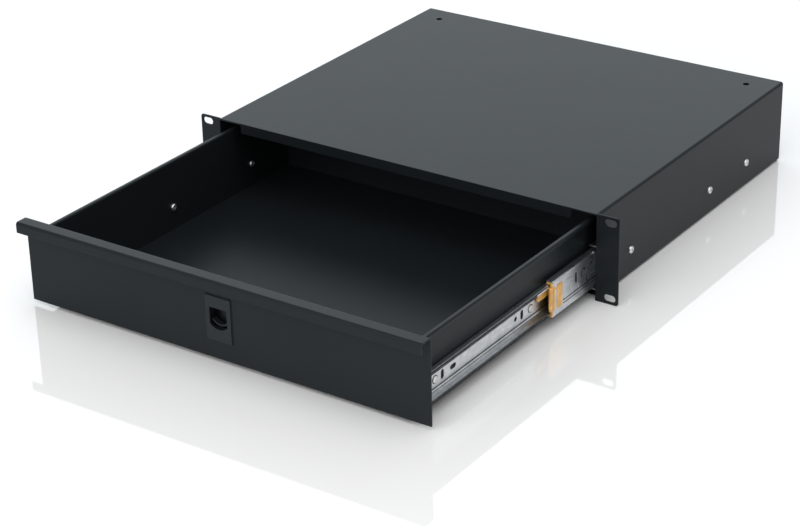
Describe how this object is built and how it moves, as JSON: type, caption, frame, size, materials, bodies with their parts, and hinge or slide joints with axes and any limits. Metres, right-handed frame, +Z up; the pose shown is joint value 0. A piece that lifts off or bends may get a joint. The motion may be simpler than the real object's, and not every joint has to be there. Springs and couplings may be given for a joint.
{
  "type": "sliding rack drawer",
  "caption": "Two-unit rack-mount drawer: sheet-steel chassis with slotted ears and a tray on telescopic ball-bearing slides, with a pull lip and finger latch.",
  "frame": {"origin": "middle of the ears' rack slots, on the ears' front face", "axes": "+X to the right seen from the front, +Y to the back of the drawer, +Z up"},
  "size_m": [0.4826, 0.6765, 0.0882],
  "materials": {
    "black_steel": "fine-textured black powder coat",
    "zinc_rail": "bright zinc plate",
    "zinc_screw": "zinc plate",
    "cage_steel": "plain steel strip",
    "ball_steel": "polished",
    "spring_steel": "spring steel",
    "amber_plastic": "amber acetal",
    "black_plastic": "satin black moulding",
    "latch_plastic": "satin black moulding",
    "black_rubber": "matt"
  },
  "bodies": {
    "chassis": {"chassis_shell": "black_steel", "rear_panel": "black_steel", "chassis_screws": "zinc_screw", "left_cabinet_rail": "zinc_rail", "right_cabinet_rail": "zinc_rail", "left_rail_stop": "black_rubber", "right_rail_stop": "black_rubber"},
    "drawer": {"drawer_tray": "black_steel", "front_panel": "black_steel", "drawer_rail_screws": "zinc_screw", "latch_housing": "black_plastic", "latch_cover": "black_plastic", "latch_cover_screws": "zinc_screw", "latch_spring": "spring_steel", "lever_pivots": "zinc_screw", "left_drawer_rail": "zinc_rail", "right_drawer_rail": "zinc_rail"},
    "latch_slider": {"latch_slider": "latch_plastic"},
    "left_intermediate": {"left_intermediate_rail": "zinc_rail", "left_rail_bumper": "amber_plastic"},
    "left_outer_cage": {"left_outer_ball_cage": "cage_steel", "left_outer_balls": "ball_steel"},
    "left_inner_cage": {"left_inner_ball_cage": "cage_steel", "left_inner_balls": "ball_steel"},
    "left_lever": {"left_release_lever": "amber_plastic"},
    "right_intermediate": {"right_intermediate_rail": "zinc_rail", "right_rail_bumper": "amber_plastic"},
    "right_outer_cage": {"right_outer_ball_cage": "cage_steel", "right_outer_balls": "ball_steel"},
    "right_inner_cage": {"right_inner_ball_cage": "cage_steel", "right_inner_balls": "ball_steel"},
    "right_lever": {"right_release_lever": "amber_plastic"}
  },
  "joints": [
    {"name": "left_rail_slide", "type": "slide", "parent": "chassis", "child": "left_intermediate", "axis": [0, -1, 0], "range_m": [-0.077, 0.073]},
    {"name": "drawer_slide", "type": "slide", "parent": "left_intermediate", "child": "drawer", "axis": [0, -1, 0], "range_m": [-0.201, 0]},
    {"name": "right_rail_slide", "type": "slide", "parent": "chassis", "child": "right_intermediate", "axis": [0, -1, 0], "range_m": [-0.077, 0.073]},
    {"name": "left_outer_cage_roll", "type": "slide", "parent": "chassis", "child": "left_outer_cage", "axis": [0, -1, 0], "range_m": [-0.0385, 0.0365]},
    {"name": "left_inner_cage_roll", "type": "slide", "parent": "left_intermediate", "child": "left_inner_cage", "axis": [0, -1, 0], "range_m": [-0.1005, 0]},
    {"name": "right_outer_cage_roll", "type": "slide", "parent": "chassis", "child": "right_outer_cage", "axis": [0, -1, 0], "range_m": [-0.0385, 0.0365]},
    {"name": "right_inner_cage_roll", "type": "slide", "parent": "right_intermediate", "child": "right_inner_cage", "axis": [0, -1, 0], "range_m": [-0.1005, 0]},
    {"name": "latch_pull", "type": "slide", "parent": "drawer", "child": "latch_slider", "axis": [0, 0, -1], "range_m": [0, 0.005], "stiffness_N_per_m": 300, "springref_m": -0.003, "deforming": ["latch_spring"]},
    {"name": "left_lever_press", "type": "hinge", "parent": "drawer", "child": "left_lever", "pos_m": [-0.2078, -0.0665, -0.0075], "axis": [1, 0, 0], "range_deg": [-5, 5], "stiffness_Nm_per_rad": 0.02},
    {"name": "right_lever_press", "type": "hinge", "parent": "drawer", "child": "right_lever", "pos_m": [0.2078, -0.0665, -0.0075], "axis": [1, 0, 0], "range_deg": [-5, 5], "stiffness_Nm_per_rad": 0.02}
  ],
  "couplings": [
    {"joint": "right_rail_slide", "follows": "left_rail_slide", "ratio": 1},
    {"joint": "left_outer_cage_roll", "follows": "left_rail_slide", "ratio": 0.5},
    {"joint": "left_inner_cage_roll", "follows": "drawer_slide", "ratio": 0.5},
    {"joint": "right_outer_cage_roll", "follows": "left_rail_slide", "ratio": 0.5},
    {"joint": "right_inner_cage_roll", "follows": "drawer_slide", "ratio": 0.5}
  ]
}
